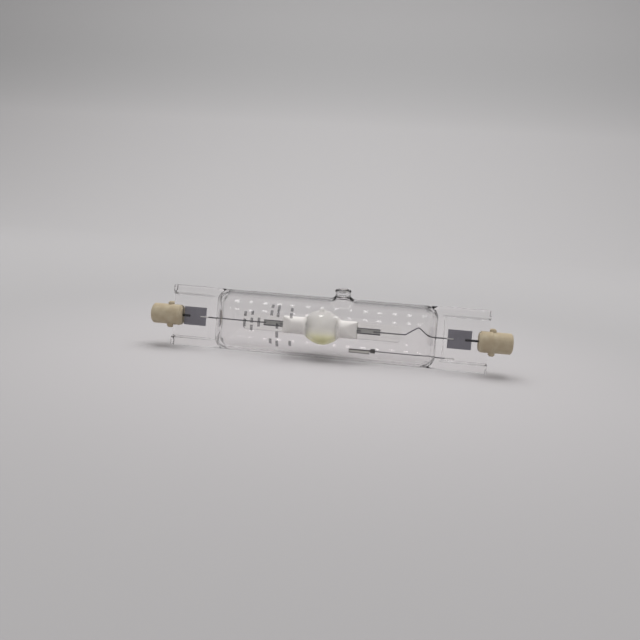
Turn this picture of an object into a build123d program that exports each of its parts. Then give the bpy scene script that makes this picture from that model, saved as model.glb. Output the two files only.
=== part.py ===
"""Double-ended metal halide lamp, lying on its tube. Sizes are in millimetres.

The lamp is drawn with its axis on X, its flat plates in the XZ plane and their front towards -Y.
At the end it is leaned back about X by the slope of the plates' edges, and lifted so that it
stands on Z = 0 with the back halves of its two lower edges.
"""
import os
from math import acos, cos, hypot, pi, radians, sin, tan

from build123d import *

# Overall length
contact_distance = 132.0
contact_recess = 1.5

# Outer quartz tube, and its height above the surface on which the lamp stands
tube_radius = 11.5
tube_wall = 1.15
tube_lift = 0.15
shoulder_length = 5.8
shoulder_blend = 1.6

# Pinched plates of the outer tube
left_plate_length = 17.35
right_plate_length = 18.75
plate_thickness = 6.0
plate_edge_slope = 9.0
plate_edge_radius = 0.3
plate_lap = 0.9
web_thickness = 2.4
rail_width = 3.35
rail_edge_radius = 0.5
web_root_radius = 0.7
recess_rim = 0.9
recess_slope = 0.7

# Cavity of the outer tube
cavity_setback = 0.35
cavity_slit = 1.2
cavity_corner = 4.0

# Sealed exhaust tip on the outer tube
tip_place = 5.5
tip_lean = 19.0
tip_radius = 3.1
tip_height = 3.9
tip_wall = 0.7
tip_roof = 1.2
tip_roof_edge = 0.8
tip_rim_radius = 1.2
tip_flare = 0.8

# Foils and leads of the outer tube
foil_thickness = 0.04
outer_foil_width = 7.0
outer_foil_length = 8.7
left_foil_margin = 3.85
right_foil_margin = 5.95
outer_lead_radius = 0.42
inner_lead_radius = 0.25
lead_overlap = 2.3
kink_height = 3.2
kink_share = 0.76
kink_bend = 1.2

# Ceramic caps
cap_length = 11.9
cap_overlap = 3.55
cap_radius = 3.85
cheek_radius = 4.1
cap_outer_edge = 0.5
cap_inner_edge = 0.9
cheek_length = 4.6
lug_length = 2.2
lug_reach = 5.05
lug_width = 2.6
lug_edge = 0.5
recess_radius = 2.5
slot_end_gap = 0.2

# Contact buttons
contact_radius = 2.1
contact_thickness = 0.9
contact_edge = 0.25
shank_radius = 0.9
shank_length = 3.0
lead_in_shank = 2.2

# Cement
cement_gap = 0.2
cement_setback = 0.3

# Arc tube
bulb_place = -1.6
bulb_radius = 6.6
bulb_half_length = 6.9
bulb_wall = 1.0
bulb_steps = 8
neck_radius = 3.2
neck_blend = 1.5
neck_bore_radius = 1.3
bore_blend = 0.5
left_neck_bore = 11.4
right_neck_bore = 10.2
arc_pinch_thickness = 2.4
arc_pinch_corner = 2.0
arc_shoulder_length = 3.4
arc_tip_radius = 1.2
arc_tip_height = 0.8
arc_tip_edge = 0.7

# Foils and electrodes of the arc tube. Foil, clear pinch and free lead have a share each of the
# distance from the foil's inner end to the end of the outer tube's cavity.
left_arc_foil_place = 14.8
right_arc_foil_place = 12.9
arc_foil_share = 0.305
left_pinch_share = 0.32
right_pinch_share = 0.266
arc_foil_width = 2.3
arc_lead_overlap = 2.6
electrode_overlap = 1.5
electrode_gap = 11.0
electrode_radius = 0.3
coil_wire_radius = 0.2
coil_pitch = 0.45
coil_turns = 3
coil_setback = 0.6

# Layers and fillings of the arc tube
coating_thickness = 0.1
left_coating_start = 6.9
right_coating_start = 6.7
dose_thickness = 0.15
dose_length = 9.4
dose_angle = 120.0
bead_radius = 0.65
bead_clearance = 0.02

# Getter
getter_drop = 7.25
getter_wire_radius = 0.2
getter_wire_seat = 7.6
getter_wire_free = 23.05
getter_tab_length = 1.7
getter_tab_height = 1.5
getter_tab_edge = 0.28
getter_neck_length = 0.35
getter_neck_height = 0.6
boat_length = 7.7
boat_height = 1.4
boat_depth = 0.75
boat_wall = 0.15
boat_sag = 0.45
pellet_crown = 0.1

# Clearance of a wound coil on its rod, and of parts that pass through the cap
coil_clearance = 0.01
contact_clearance = 0.05

# Solids that only cut reach past what they cut by this much
cutter_margin = 0.4

# Places worked out from the sizes above, as distances from the middle of the lamp
half_length = contact_distance / 2 + contact_recess
cap_inner_end = half_length - cap_length
plate_end = cap_inner_end + cap_overlap
axis_height = tube_radius + tube_lift
plate_half_width = axis_height / cos(radians(plate_edge_slope))
bore_radius = tube_radius - tube_wall
half_web = web_thickness / 2
half_plate = plate_thickness / 2
contact_face = contact_distance / 2
contact_back = contact_face - contact_thickness
shank_end = contact_back - shank_length
groove_half_width = plate_half_width - rail_width
foil_front = outer_lead_radius
plate_start = {-1: plate_end - left_plate_length, 1: plate_end - right_plate_length}
cavity_end = {side: plate_start[side] - cavity_setback for side in (-1, 1)}
foil_outer_end = {-1: plate_end - left_foil_margin, 1: plate_end - right_foil_margin}
foil_inner_end = {side: foil_outer_end[side] - outer_foil_length for side in (-1, 1)}
arc_foil_place = {-1: left_arc_foil_place, 1: right_arc_foil_place}
pinch_share = {-1: left_pinch_share, 1: right_pinch_share}
coating_start = {-1: left_coating_start, 1: right_coating_start}
neck_bore = {-1: left_neck_bore, 1: right_neck_bore}
arc_reach = {side: cavity_end[side] - side * bulb_place - arc_foil_place[side] for side in (-1, 1)}
arc_foil_end = {side: arc_foil_place[side] + arc_foil_share * arc_reach[side] for side in (-1, 1)}
arc_pinch_end = {side: arc_foil_end[side] + pinch_share[side] * arc_reach[side] for side in (-1, 1)}
side_names = {-1: "left", 1: "right"}
lean = plate_edge_slope


def block(x0, x1, y0, y1, z0, z1):
    """Box between two corners."""
    middle = Pos((x0 + x1) / 2, (y0 + y1) / 2, (z0 + z1) / 2)
    return middle * Box(abs(x1 - x0), abs(y1 - y0), abs(z1 - z0))


def rod(x0, x1, radius, y=0.0, z=0.0):
    """Round rod along X."""
    return Pos((x0 + x1) / 2, y, z) * Rot(0, 90, 0) * Cylinder(radius, abs(x1 - x0))


def plan(points):
    """Face in the XY plane through the given corners."""
    return make_face(Polyline(*points, close=True))


def rounded(face, corners, radius):
    """Round the corners of a flat face that lie at the given points."""
    chosen = [v for v in face.vertices() for p in corners if hypot(v.X - p[0], v.Y - p[1]) < 0.001]
    return fillet(chosen, radius)


def pinched_outline(radius, half_thickness, shoulder, starts, ends, blend):
    """Thin-side outline of a tube whose ends are pressed flat, extruded across the tube.

    The half height is the radius, with a margin, between the shoulders, falls along a straight
    slope and is half the plate's thickness from each start out to each end.
    """
    top = radius + cutter_margin
    run = shoulder * (top - half_thickness) / (radius - half_thickness)
    upper = [
        (-ends[-1], half_thickness),
        (-starts[-1], half_thickness),
        (-starts[-1] + run, top),
        (starts[1] - run, top),
        (starts[1], half_thickness),
        (ends[1], half_thickness),
    ]
    lower = [(x, -y) for x, y in reversed(upper)]
    face = plan(upper + lower)
    roots = [(side * starts[side], y) for side in (-1, 1) for y in (half_thickness, -half_thickness)]
    face = rounded(face, roots, blend)
    return extrude(face, amount=top, both=True)


def envelope_barrel():
    """Round part of the outer tube with its two flattened shoulders."""
    reach = {side: plate_start[side] + plate_lap for side in (-1, 1)}
    tube = rod(-reach[-1], reach[1], tube_radius)
    outline = pinched_outline(tube_radius, half_plate, shoulder_length, plate_start, reach, shoulder_blend / 2)
    return tube & outline


def plate_section():
    """Outline across a plate. Its narrow edges slope down both ways from a low ridge."""
    corner = plate_half_width - half_plate * tan(radians(plate_edge_slope))
    face = plan([
        (0, plate_half_width),
        (-half_plate, corner),
        (-half_plate, -corner),
        (0, -plate_half_width),
        (half_plate, -corner),
        (half_plate, corner),
    ])
    corners = [(y, z) for y in (-half_plate, half_plate) for z in (-corner, corner)]
    return rounded(face, corners, plate_edge_radius)


def envelope_plate(side):
    """Pinched plate: a bar with a groove in each face, open at the outer end."""
    start = plate_start[side] - plate_lap
    bar = Pos(start, 0, 0) * extrude(Plane.YZ * plate_section(), amount=plate_end - start)
    for face in (-1, 1):
        bar = bar - plate_groove(side, face)
    return bar if side > 0 else mirror(bar, Plane.YZ)


def plate_groove(side, face):
    """Groove in one face of a plate, with a round root, round rail edges and a sloping start."""
    start = plate_start[side] + recess_rim
    top = half_plate + cutter_margin
    low = half_web - cutter_margin
    end = plate_end + cutter_margin
    slot = Pos((half_web + top) / 2, 0) * Rectangle(top - half_web, 2 * groove_half_width)
    above = Rectangle(cutter_margin, 2 * groove_half_width + 4 * rail_edge_radius)
    section = slot + Pos(half_plate + cutter_margin / 2, 0) * above
    edges = [(half_plate, z) for z in (groove_half_width, -groove_half_width)]
    section = rounded(section, edges, rail_edge_radius)
    roots = [(half_web, z) for z in (groove_half_width, -groove_half_width)]
    section = rounded(section, roots, web_root_radius)
    groove = extrude(Plane.YZ * section, amount=end)
    slope = plan([(start, low), (start, half_web), (start - recess_slope, top), (end, top), (end, low)])
    groove = groove & extrude(slope, amount=plate_half_width, both=True)
    return groove if face > 0 else mirror(groove, Plane.XZ)


def envelope_cavity():
    """Sealed space in the outer tube: the bore, flattened at both ends, with round corners."""
    tube = rod(-cavity_end[-1], cavity_end[1], bore_radius)
    slope = tube_wall * hypot(shoulder_length, tube_radius - half_plate) / (tube_radius - half_plate)
    half_slit = cavity_slit / 2
    run = shoulder_length * (bore_radius - half_slit) / (tube_radius - half_plate)
    drop = shoulder_length * (half_plate - half_slit) / (tube_radius - half_plate)
    starts = {side: plate_start[side] - slope + drop for side in (-1, 1)}
    reach = {side: starts[side] + shoulder_blend for side in (-1, 1)}
    outline = pinched_outline(bore_radius, half_slit, run, starts, reach, shoulder_blend / 2)
    face = bar_outline(cavity_end, bore_radius + cutter_margin)
    face = fillet(face.vertices(), cavity_corner)
    front = extrude(Plane.XZ * face, amount=tube_radius, both=True)
    return tube & outline & front


def exhaust_tip():
    """Solid form and hollow of the tip where the pumping stem was melted off."""
    top = tube_radius + tip_height
    outer = plan([(0, 0), (tip_radius, 0), (tip_radius, top), (0, top)])
    outer = rounded(outer, [(tip_radius, top)], tip_rim_radius)
    inner_radius = tip_radius - tip_wall
    roof = top - tip_roof
    inner = plan([(0, 0), (inner_radius, 0), (inner_radius, roof), (0, roof)])
    inner = chamfer([v for v in inner.vertices() if v.X > 0 and v.Y > 0], tip_roof_edge)
    flare_top = tube_radius + tip_flare
    flare = plan([(0, bore_radius), (tip_radius + tip_flare, bore_radius), (tip_radius, flare_top), (0, flare_top)])
    place = Pos(tip_place, 0, 0) * Rot(tip_lean, 0, 0)
    solid = revolve(Plane.XZ * (outer + flare), Axis.Z)
    hollow = revolve(Plane.XZ * inner, Axis.Z)
    return place * solid, place * hollow


def outer_envelope(seated):
    """Quartz envelope with the seats of everything that is melted into its plates."""
    tip, hollow = exhaust_tip()
    body = envelope_barrel()
    for side in (-1, 1):
        body = body + envelope_plate(side)
    keep = block(-half_length, half_length, -tube_radius, tube_radius, 0, 2 * tube_radius)
    body = body + (tip & keep)
    body = body - envelope_cavity() - (hollow & keep)
    return body - seated


def foil(start, end, width):
    """Flat foil that lies just behind the leads welded to it."""
    return block(start, end, foil_front, foil_front + foil_thickness, -width / 2, width / 2)


def outer_lead(side):
    """Rod from the front of an outer foil into the shank of the contact."""
    start = foil_outer_end[side] - lead_overlap
    return rod(side * start, side * (shank_end + lead_in_shank), outer_lead_radius)


def straight_lead():
    """Left inner lead, straight from the outer foil to the arc tube's foil."""
    start = foil_inner_end[-1] + lead_overlap
    end = arc_foil_end[-1] - arc_lead_overlap - bulb_place
    return rod(-start, -end, inner_lead_radius, foil_front - inner_lead_radius)


def kinked_lead():
    """Right inner lead, bent up and down once so that it can give as it warms."""
    start = bulb_place + arc_foil_end[1] - arc_lead_overlap
    end = foil_inner_end[1] + lead_overlap
    free_start = bulb_place + arc_pinch_end[1]
    middle = (free_start + cavity_end[1]) / 2
    half_kink = kink_share * (cavity_end[1] - free_start) / 2
    y = foil_front - inner_lead_radius
    path = FilletPolyline(
        (start, y, 0),
        (middle - half_kink, y, 0),
        (middle, y, kink_height),
        (middle + half_kink, y, 0),
        (end, y, 0),
        radius=kink_bend,
    )
    section = Plane(origin=(start, y, 0), z_dir=(1, 0, 0)) * Circle(inner_lead_radius)
    return sweep(section, path=path)


def cap(side):
    """Ceramic cap: barrel, two cheeks astride the plate, two lugs and a recess for the contact."""
    barrel = plan([
        (cap_inner_end, 0),
        (cap_inner_end, cheek_radius),
        (cap_inner_end + cheek_length, cheek_radius),
        (cap_inner_end + cheek_length + cheek_radius - cap_radius, cap_radius),
        (half_length, cap_radius),
        (half_length, 0),
    ])
    inner_rim = [v for v in barrel.vertices() if v.X < cap_inner_end + 0.001 and v.Y > 0]
    barrel = chamfer(inner_rim, cap_inner_edge)
    outer_rim = [v for v in barrel.vertices() if v.X > half_length - 0.001 and v.Y > 0]
    barrel = chamfer(outer_rim, cap_outer_edge)
    body = revolve(barrel, Axis.X)
    seat = plate_end + slot_end_gap
    for z in (-1, 1):
        lug = block(seat, seat + lug_length, -lug_width / 2, lug_width / 2, 0, z * lug_reach)
        tips = [e for e in lug.edges() if abs(e.center().Z - z * lug_reach) < 0.001]
        body = body + chamfer(tips, lug_edge)
    half_slot = half_web + cement_gap
    slot_start = cap_inner_end - cutter_margin
    slot = block(slot_start, seat, -half_slot, half_slot, -2 * lug_reach, 2 * lug_reach)
    recess = rod(contact_face, half_length + cutter_margin, recess_radius)
    pocket = rod(contact_back, contact_face + cutter_margin, contact_radius + contact_clearance)
    passage = rod(cap_inner_end, contact_back + cutter_margin, shank_radius + cement_gap)
    body = body - slot - recess - pocket - passage
    return body if side > 0 else mirror(body, Plane.YZ)


def contact(side):
    """Contact button with a broken edge and a hollow shank for the lead."""
    lead_end = shank_end + lead_in_shank
    profile = plan([
        (lead_end, 0),
        (lead_end, outer_lead_radius),
        (shank_end, outer_lead_radius),
        (shank_end, shank_radius),
        (contact_back, shank_radius),
        (contact_back, contact_radius),
        (contact_face, contact_radius),
        (contact_face, 0),
    ])
    rim = [v for v in profile.vertices() if v.X > contact_face - 0.001 and v.Y > 0]
    body = revolve(chamfer(rim, contact_edge), Axis.X)
    return body if side > 0 else mirror(body, Plane.YZ)


def cement(side):
    """Cement that fills the slot beside the plate and the passage round the lead."""
    seat = plate_end + slot_end_gap
    half_slot = half_web + cement_gap
    inner = cap_inner_end + cement_setback
    slot = block(inner, seat, -half_slot, half_slot, -cap_radius, cap_radius)
    slot = slot & rod(inner, seat, cheek_radius - cement_setback)
    fill = slot + rod(seat - cutter_margin, contact_back, shank_radius + cement_gap)
    web = block(cap_inner_end, plate_end, -half_web, half_web, -2 * cap_radius, 2 * cap_radius)
    shank = rod(shank_end, contact_back, shank_radius)
    fill = fill - web - shank
    fill = fill if side > 0 else mirror(fill, Plane.YZ)
    return fill - outer_lead(side)


def bar_outline(ends, half_height):
    """Flat outline of a bar along X that reaches to a given place on each side."""
    return plan([
        (-ends[-1], half_height),
        (ends[1], half_height),
        (ends[1], -half_height),
        (-ends[-1], -half_height),
    ])


def necked_profile(half_bulb, radius, neck, blend, ends):
    """Upper half of the outline of a round bulb with a straight neck to each side.

    The bulb is an ellipse in even steps, because that keeps its turned surface light. A slope
    leads to each neck. It starts and ends a blend's length from the corner between them.
    """
    corner = half_bulb * (1 - (neck / radius) ** 2) ** 0.5
    first = acos((corner - blend) / half_bulb)
    angles = [first + (pi - 2 * first) * step / bulb_steps for step in range(bulb_steps + 1)]
    bulb = [(half_bulb * cos(a), radius * sin(a)) for a in angles]
    right = [(ends[1], 0), (ends[1], neck), (corner + blend, neck)]
    left = [(-corner - blend, neck), (-ends[-1], neck), (-ends[-1], 0)]
    return plan(right + bulb + left)


def arc_tube_form(layer):
    """Outer form of the arc tube, larger all over by the thickness of a layer.

    The bulb and its necks are turned. Outside the bulb the necks are pressed flat, and seen on
    the flat the ends have round corners.
    """
    radius = bulb_radius + layer
    half_bulb = bulb_half_length + layer
    neck = neck_radius + layer
    half_pinch = arc_pinch_thickness / 2 + layer
    ends = {side: arc_pinch_end[side] + layer for side in (-1, 1)}
    form = revolve(necked_profile(half_bulb, radius, neck, neck_blend, ends), Axis.X)
    reach = {side: ends[side] + arc_pinch_corner for side in (-1, 1)}
    shoulder = arc_shoulder_length * (radius - half_pinch) / (neck - half_pinch)
    pressed = pinched_outline(radius, half_pinch, shoulder, arc_foil_place, reach, neck_blend)
    front = bar_outline(ends, neck + cutter_margin)
    front = fillet(front.vertices(), arc_pinch_corner + cutter_margin)
    front = front + Rectangle(2 * min(arc_foil_place.values()), 2 * (radius + cutter_margin))
    front = extrude(Plane.XZ * front, amount=radius, both=True)
    return Pos(bulb_place, 0, 0) * (form & pressed & front)


def cavity_profile(layer):
    """Upper half of the outline of the space in the bulb and its necks, less a layer all round."""
    half_bulb = bulb_half_length - bulb_wall - layer
    radius = bulb_radius - bulb_wall - layer
    return necked_profile(half_bulb, radius, neck_bore_radius, bore_blend, neck_bore)


def arc_tube(seated):
    """Quartz arc tube with its small melted tip and the seats of what is melted into it."""
    body = arc_tube_form(0)
    tip_top = bulb_radius + arc_tip_height
    tip = Pos(bulb_place, 0, 0) * Rot(tip_lean, 0, 0) * Pos(0, 0, (tip_top + bulb_radius - bulb_wall / 2) / 2)
    tip = tip * Cylinder(arc_tip_radius, tip_top - bulb_radius + bulb_wall / 2)
    rim = tip.edges().sort_by(Axis.Z)[-1]
    body = body + chamfer(rim, arc_tip_edge)
    body = body - Pos(bulb_place, 0, 0) * revolve(cavity_profile(0), Axis.X)
    return body - seated


def electrode_tip(side):
    """Place of an electrode's end on X."""
    return bulb_place + side * electrode_gap / 2


def electrode_rod(side):
    """Tungsten rod from the front of an arc foil to the discharge."""
    start = bulb_place + side * (arc_foil_place[side] + electrode_overlap)
    return rod(start, electrode_tip(side), electrode_radius, foil_front - electrode_radius)


def electrode_coil(side):
    """Tungsten wire wound on the rod just behind its tip. The wire is drawn six-sided to keep it light."""
    turn_radius = electrode_radius + coil_clearance + coil_wire_radius
    height = coil_turns * coil_pitch
    helix = Helix(coil_pitch, height, turn_radius)
    start = Plane(origin=helix @ 0, z_dir=helix % 0)
    wire = sweep(start * RegularPolygon(coil_wire_radius, 6), path=helix, is_frenet=True)
    near = electrode_tip(side) + side * coil_setback
    place = near if side > 0 else near - height
    return Pos(place, foil_front - electrode_radius, 0) * Rot(0, 90, 0) * wire


def heat_coating(side):
    """Zirconia layer on one neck, from the bulb's side to the flat pinch."""
    layer = arc_tube_form(coating_thickness) - arc_tube_form(0)
    start = bulb_place + side * coating_start[side]
    end = bulb_place + side * arc_foil_place[side]
    wide = 2 * bulb_radius
    return layer & block(start, end, -wide, wide, -wide, wide)


def halide_dose():
    """Film of metal salts on the lower wall of the bulb, turned through part of a circle."""
    film = cavity_profile(0) - cavity_profile(dose_thickness)
    film = film & Pos(0, bulb_radius / 2) * Rectangle(dose_length, bulb_radius)
    start = Rot(270 - dose_angle / 2, 0, 0)
    return Pos(bulb_place, 0, 0) * revolve(start * film, Axis.X, dose_angle)


def mercury_bead():
    """Drop of mercury at the lowest point of the bulb as the lamp lies."""
    depth = bulb_radius - bulb_wall - dose_thickness - bead_clearance - bead_radius
    y = depth * sin(radians(lean))
    z = -depth * cos(radians(lean))
    return Pos(bulb_place, y, z) * Sphere(bead_radius)


def getter_wire():
    """Wire from the getter's tab into the web of the right plate."""
    start = cavity_end[1] - getter_wire_free
    return rod(start, cavity_end[1] + getter_wire_seat, getter_wire_radius, 0, -getter_drop)


def getter_boat(wire):
    """Folded strip: a shallow channel open to the front, a neck, and a tab round the wire's end."""
    tab_start = cavity_end[1] - getter_wire_free
    boat_end = tab_start - getter_neck_length
    boat_start = boat_end - boat_length
    middle = -getter_drop - boat_sag
    back = getter_wire_radius + boat_wall
    front = back - boat_depth
    low = middle - boat_height / 2
    high = middle + boat_height / 2
    channel = block(boat_start, boat_end, front, back, low, high)
    hollow = block(boat_start + boat_wall, boat_end - boat_wall, front - cutter_margin, back - boat_wall,
                   low + boat_wall, high - boat_wall)
    neck_low = -getter_drop - getter_neck_height / 2
    neck = block(boat_end - boat_wall / 2, tab_start + boat_wall, back - boat_wall, back,
                 neck_low, neck_low + getter_neck_height)
    tab_low = -getter_drop - getter_tab_height / 2
    tab = block(tab_start, tab_start + getter_tab_length, -back, back, tab_low, tab_low + getter_tab_height)
    tab = fillet(tab.edges().filter_by(Axis.X), getter_tab_edge)
    return channel - hollow + neck + tab - wire


def getter_pellet():
    """Pressed powder in the channel of the boat, slightly crowned along its length."""
    tab_start = cavity_end[1] - getter_wire_free
    boat_end = tab_start - getter_neck_length - boat_wall
    boat_start = boat_end - boat_length + 2 * boat_wall
    middle = -getter_drop - boat_sag
    half = boat_height / 2 - boat_wall
    back = getter_wire_radius
    front = back - boat_depth + 2 * boat_wall
    section = make_face([
        Line((back, -half), (back, half)),
        Line((back, half), (front, half)),
        ThreePointArc((front, half), (front - pellet_crown, 0), (front, -half)),
        Line((front, -half), (back, -half)),
    ])
    return Pos(boat_start, 0, middle) * extrude(Plane.YZ * section, amount=boat_end - boat_start)


def all_pieces():
    """Every piece of the lamp by name, in the drawing position."""
    pieces = {}
    for side, name in side_names.items():
        arc_start = bulb_place + side * arc_foil_place[side]
        arc_end = bulb_place + side * arc_foil_end[side]
        outer_start = side * foil_inner_end[side]
        outer_end = side * foil_outer_end[side]
        pieces[name + "_outer_foil"] = foil(outer_start, outer_end, outer_foil_width)
        pieces[name + "_arc_foil"] = foil(arc_start, arc_end, arc_foil_width)
        pieces[name + "_outer_lead"] = outer_lead(side)
        pieces[name + "_cap"] = cap(side)
        pieces[name + "_contact"] = contact(side)
        pieces[name + "_cap_cement"] = cement(side)
        pieces[name + "_electrode_rod"] = electrode_rod(side)
        pieces[name + "_electrode_coil"] = electrode_coil(side)
        pieces[name + "_heat_coating"] = heat_coating(side)
    pieces["left_inner_lead"] = straight_lead()
    pieces["right_inner_lead"] = kinked_lead()
    pieces["getter_wire"] = getter_wire()
    pieces["getter_boat"] = getter_boat(pieces["getter_wire"])
    pieces["getter_pellet"] = getter_pellet()
    pieces["halide_dose"] = halide_dose()
    pieces["mercury_bead"] = mercury_bead()
    in_plates = ["outer_foil", "outer_lead", "inner_lead"]
    seated = [pieces[side + "_" + kind] for side in side_names.values() for kind in in_plates]
    pieces["outer_envelope"] = outer_envelope(seated + [pieces["getter_wire"]])
    in_pinches = ["arc_foil", "inner_lead", "electrode_rod"]
    seated = [pieces[side + "_" + kind] for side in side_names.values() for kind in in_pinches]
    pieces["arc_tube"] = arc_tube(seated)
    return pieces


def export_lamp():
    os.makedirs("parts", exist_ok=True)
    rest = Pos(0, 0, axis_height) * Rot(-lean, 0, 0)
    for name, piece in all_pieces().items():
        export_step(rest * piece, "parts/" + name + ".step")


export_lamp()
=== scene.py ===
from math import cos, pi, radians, sin, tan

import bmesh
import bpy
import numpy as np
from mathutils import Matrix, Vector


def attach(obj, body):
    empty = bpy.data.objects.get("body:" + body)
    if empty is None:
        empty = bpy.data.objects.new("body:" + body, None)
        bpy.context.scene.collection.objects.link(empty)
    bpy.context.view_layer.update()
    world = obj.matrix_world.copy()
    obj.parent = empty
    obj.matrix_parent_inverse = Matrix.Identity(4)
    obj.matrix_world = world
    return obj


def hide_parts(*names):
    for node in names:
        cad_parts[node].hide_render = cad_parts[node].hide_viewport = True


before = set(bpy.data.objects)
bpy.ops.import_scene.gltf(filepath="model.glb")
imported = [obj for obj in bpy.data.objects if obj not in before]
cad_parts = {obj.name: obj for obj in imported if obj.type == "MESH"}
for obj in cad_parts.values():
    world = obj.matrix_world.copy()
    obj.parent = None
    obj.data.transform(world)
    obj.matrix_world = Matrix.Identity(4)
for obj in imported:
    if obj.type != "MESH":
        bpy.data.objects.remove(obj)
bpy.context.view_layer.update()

# Sizes are in millimetres in the drawing position: the lamp's axis is X, its front is -Y and its
# plates stand in the XZ plane. at_rest() leans a shape back and lifts it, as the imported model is.
# A value for each side has -1 for the left end and 1 for the right end.
mm = 0.001
sides = {-1: "left", 1: "right"}
lean = radians(9.0)
axis_height = 11.65

# Outer tube
tube_radius = 11.5
bore_radius = 10.35
outer_blend = 2.4
bore_blend = 2.2
cavity_end = {-1: 41.45, 1: 40.05}
cavity_corner = 5.0
cavity_nose = 1.2

# Shoulders, where the tube narrows to the plates
shoulder_length = 7.0
shoulder_crown = 0.6
corner_radius = 5.5

# Plates, with a groove between two rails on each face and edges sloped by the pinch jaws
plate_start = {-1: 41.8, 1: 40.4}
plate_middle = -0.7
plate_foot = 4.4
plate_end = 59.15
half_plate = 3.0
half_web = 1.2
web_height = 7.75
rail_height = 8.95
groove_run = 4.2
edge_round = 0.32
edge_ridge = 11.795
edge_slope = tan(lean)
end_bevel = 0.15
end_inset = 0.14

# Exhaust tip: its place, the angle of its axis from the front over the top, half of the square
# hole that its outside and its hollow are drawn from, and the radius of their feet
tip_place = 5.5
tip_angle = radians(71.0)
tip_hole, tip_foot = 6.0, 5.4
hollow_hole, hollow_foot = 5.6, 5.0

# Arc tube, measured from the middle of its bulb. The bulb has a half length and a radius.
bulb_place = -1.6
bulb_outside = (6.9, 6.6)
bulb_inside = (5.9, 5.6)
neck_radius = 3.2
neck_blend = 3.2
neck_bore = {-1: 11.4, 1: 10.2}
neck_bore_radius = 1.3
half_pinch = 1.2
pinch_slope = 2 / 3.4
pinch_blend = 0.5
arc_end = {-1: 30.45, 1: 29.32}
arc_end_height = 1.2
arc_corner = 2.4
arc_nose = 0.7
arc_tip_radius = 0.95
arc_tip_height = 0.75
arc_foil_place = {-1: 14.8, 1: 12.9}
coating_start = 5.0
quartz_ior = 1.458

# Wires. The leads and the electrodes lie on the fronts of the foils.
foil_front = 0.42
lead_radius = 0.25
getter_wire_radius = 0.2
outer_lead_radius = 0.42
electrode_radius = 0.3
electrode_end = 5.5
wire_edge = 0.06


def at_rest(points):
    """Drawing position in mm to the place at rest in metres: turned back about X, then lifted."""
    x, y, z = points[..., 0], points[..., 1], points[..., 2]
    turned = [x, y * cos(lean) + z * sin(lean), axis_height - y * sin(lean) + z * cos(lean)]
    return mm * np.stack(turned, axis=-1)


def linear(code):
    """sRGB hex code to linear red, green, blue and alpha."""
    parts = np.array([int(code[i:i + 2], 16) for i in (1, 3, 5)]) / 255
    low = parts / 12.92
    high = ((parts + 0.055) / 1.055) ** 2.4
    return tuple(np.where(parts <= 0.04045, low, high)) + (1.0,)


def smooth_min(a, b, blend):
    """The smaller of a and b, rounded where they cross: b + h (a - b) - blend h (1 - h)."""
    h = np.clip(0.5 + 0.5 * (b - a) / blend, 0, 1)
    return b + h * (a - b) - blend * h * (1 - h)


def smooth_max(a, b, blend):
    """The larger of a and b, rounded where they cross."""
    return -smooth_min(-a, -b, blend)


def smooth_step(t):
    """0 below 0, 1 above 1, and 3 t^2 - 2 t^3 between."""
    t = np.clip(t, 0, 1)
    return t * t * (3 - 2 * t)


def by_side(x, values):
    """The left or the right one of two values, by the sign of x."""
    return np.where(x < 0, values[-1], values[1])


# Meshes and pieces

def grid_faces(rows, columns, wrap_rows=False, wrap_columns=False):
    """Quads of a grid of points, numbered row by row, as an array of rows x columns x 4."""
    r = np.arange(rows if wrap_rows else rows - 1)[:, None]
    c = np.arange(columns if wrap_columns else columns - 1)[None, :]
    r1 = (r + 1) % rows
    c1 = (c + 1) % columns
    corners = [r * columns + c, r * columns + c1, r1 * columns + c1, r1 * columns + c]
    return np.stack(np.broadcast_arrays(*corners), axis=-1)


def loop_angles(count):
    """Angles of a half loop from the bottom up the front to the top."""
    return (np.arange(count) + 0.5) / count * pi - pi / 2


def halves(x, depth, tall):
    """Front and back half loops from depth and height."""
    x, depth, tall = np.broadcast_arrays(x, depth, tall)
    return np.stack([x, -depth, tall], axis=-1), np.stack([x, depth, tall], axis=-1)


def loop_surface(front, back, keep=None):
    """Closed tube through loops that run along a row of front and back along the same row of back.

    Its two ends are closed by strips from front to back. keep leaves out quads where it is False.
    """
    points = np.concatenate([front, back[:, ::-1]], axis=1)
    rows, columns = points.shape[:2]
    around = grid_faces(rows, columns, wrap_columns=True)
    around = around.reshape(-1, 4) if keep is None else around[keep]
    k = np.arange(columns // 2 - 1)
    strip = np.stack([k, k + 1, columns - 2 - k, columns - 1 - k], axis=-1)
    return points, np.concatenate([around, strip, strip + (rows - 1) * columns])


def weld(surfaces, hollow=False):
    """One closed skin from surfaces that share their edges, facing out, or inwards for a hollow."""
    work = bmesh.new()
    for points, faces in surfaces:
        mesh = bpy.data.meshes.new("surface")
        mesh.from_pydata(at_rest(points).reshape(-1, 3).tolist(), [], faces.reshape(-1, 4).tolist())
        work.from_mesh(mesh)
        bpy.data.meshes.remove(mesh)
    bmesh.ops.remove_doubles(work, verts=work.verts, dist=1e-7)
    bmesh.ops.dissolve_degenerate(work, edges=work.edges, dist=1e-8)
    bmesh.ops.recalc_face_normals(work, faces=work.faces)
    if hollow:
        bmesh.ops.reverse_faces(work, faces=work.faces)
    mesh = bpy.data.meshes.new("skin")
    work.to_mesh(mesh)
    work.free()
    return mesh


def add_piece(name, skins, material, replaced=(), sharp=None):
    """Puts skins together as one piece that rides with the lamp."""
    work = bmesh.new()
    for skin in skins:
        work.from_mesh(skin)
        bpy.data.meshes.remove(skin)
    mesh = bpy.data.meshes.new(name)
    work.to_mesh(mesh)
    work.free()
    mesh.shade_smooth()
    if sharp:
        mesh.set_sharp_from_angle(angle=radians(sharp))
    mesh.materials.append(material)
    piece = bpy.data.objects.new(name, mesh)
    bpy.context.scene.collection.objects.link(piece)
    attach(piece, "root")
    if replaced:
        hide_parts(*replaced)
    return piece


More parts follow.
